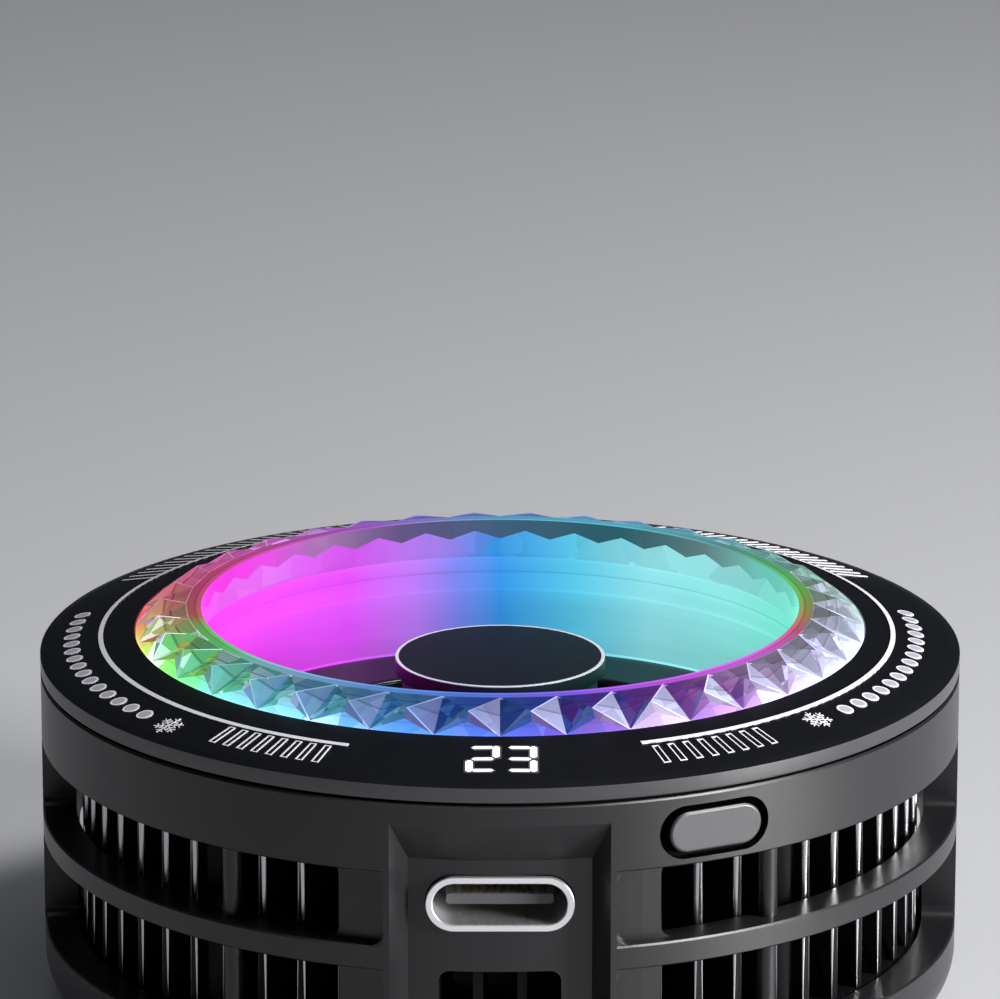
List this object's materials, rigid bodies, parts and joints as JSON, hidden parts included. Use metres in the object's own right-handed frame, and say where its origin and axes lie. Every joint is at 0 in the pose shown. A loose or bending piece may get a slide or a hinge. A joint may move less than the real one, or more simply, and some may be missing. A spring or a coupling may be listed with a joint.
{
  "type": "phone cooling fan",
  "caption": "Round magnetic phone cooler: vented casing with a lit crystal ring, a fan over radial fins, a cold plate and a charging socket.",
  "frame": {"origin": "middle of the round face that lies on the phone, on the fan's axis", "axes": "+Z along the fan's axis away from the phone, -Y towards the side with the charging socket, +X to the right seen from that side"},
  "size_m": [0.06, 0.06, 0.0267],
  "materials": {
    "casing_plastic": "satin gunmetal grey, moulded",
    "gloss_black": "gloss black",
    "plate_black": "semi-gloss black with white printed marks",
    "clear_crystal": "clear faceted polycarbonate",
    "light_diffuser": "milky diffusing acrylic, lit from behind",
    "smoked_plastic": "smoked grey",
    "board_green": "solder mask",
    "lamp_white": "lamp package",
    "frame_black": "fine matt black",
    "button_grey": "satin grey",
    "switch_black": "plain",
    "switch_white": "plain",
    "socket_steel": "polished",
    "chip_black": "moulded package",
    "fan_black": "satin black",
    "steel": "plain",
    "screw_steel": "black oxide",
    "magnet": "nickel plated",
    "bearing_brass": "sintered",
    "copper": "enamelled wire",
    "black_fins": "black anodised",
    "cold_metal": "fine turned",
    "ceramic": "plain white",
    "semiconductor": "dull",
    "paste": "thermal paste",
    "foam": "closed-cell foam",
    "soft_rubber": "soft silicone"
  },
  "bodies": {
    "root": {"casing": "casing_plastic", "trim_ring": "gloss_black", "top_plate": "plate_black", "crystal_ring": "clear_crystal", "light_guide": "light_diffuser", "diffuser_film": "light_diffuser", "lamp_board": "board_green", "lamps": "lamp_white", "display_module": "gloss_black", "deck": "frame_black", "inlet_ring": "smoked_plastic", "switch_body": "switch_black", "socket_shell": "socket_steel", "socket_tongue": "switch_black", "main_board": "board_green", "board_chips": "chip_black", "sleeve_bearing": "bearing_brass", "bearing_tube": "bearing_brass", "thrust_pad": "switch_white", "stator_core": "steel", "stator_coils": "copper", "motor_board": "board_green", "motor_base": "frame_black", "heat_sink": "black_fins", "hot_paste": "paste", "module_hot_side": "ceramic", "module_pellets": "semiconductor", "module_cold_side": "ceramic", "cold_paste": "paste", "cold_plate": "cold_metal", "foam_ring": "foam", "magnets": "magnet", "magnet_yoke": "steel", "base_cover": "frame_black", "soft_pad": "soft_rubber", "base_screws": "screw_steel", "frame_screws": "screw_steel", "board_screws": "screw_steel"},
    "rotor": {"impeller": "fan_black", "hub_cap": "gloss_black", "rotor_yoke": "steel", "rotor_magnet": "magnet", "shaft": "steel"},
    "button": {"mode_button": "button_grey", "switch_plunger": "switch_white"}
  },
  "joints": [
    {"name": "fan_spin", "type": "hinge", "parent": "root", "child": "rotor", "pos_m": [0, 0, 0.011], "axis": [0, 0, 1], "continuous": true},
    {"name": "mode_button_press", "type": "slide", "parent": "root", "child": "button", "axis": [-0.4446, 0.8957, 0], "range_m": [0, 0.00035], "stiffness_N_per_m": 3000}
  ]
}
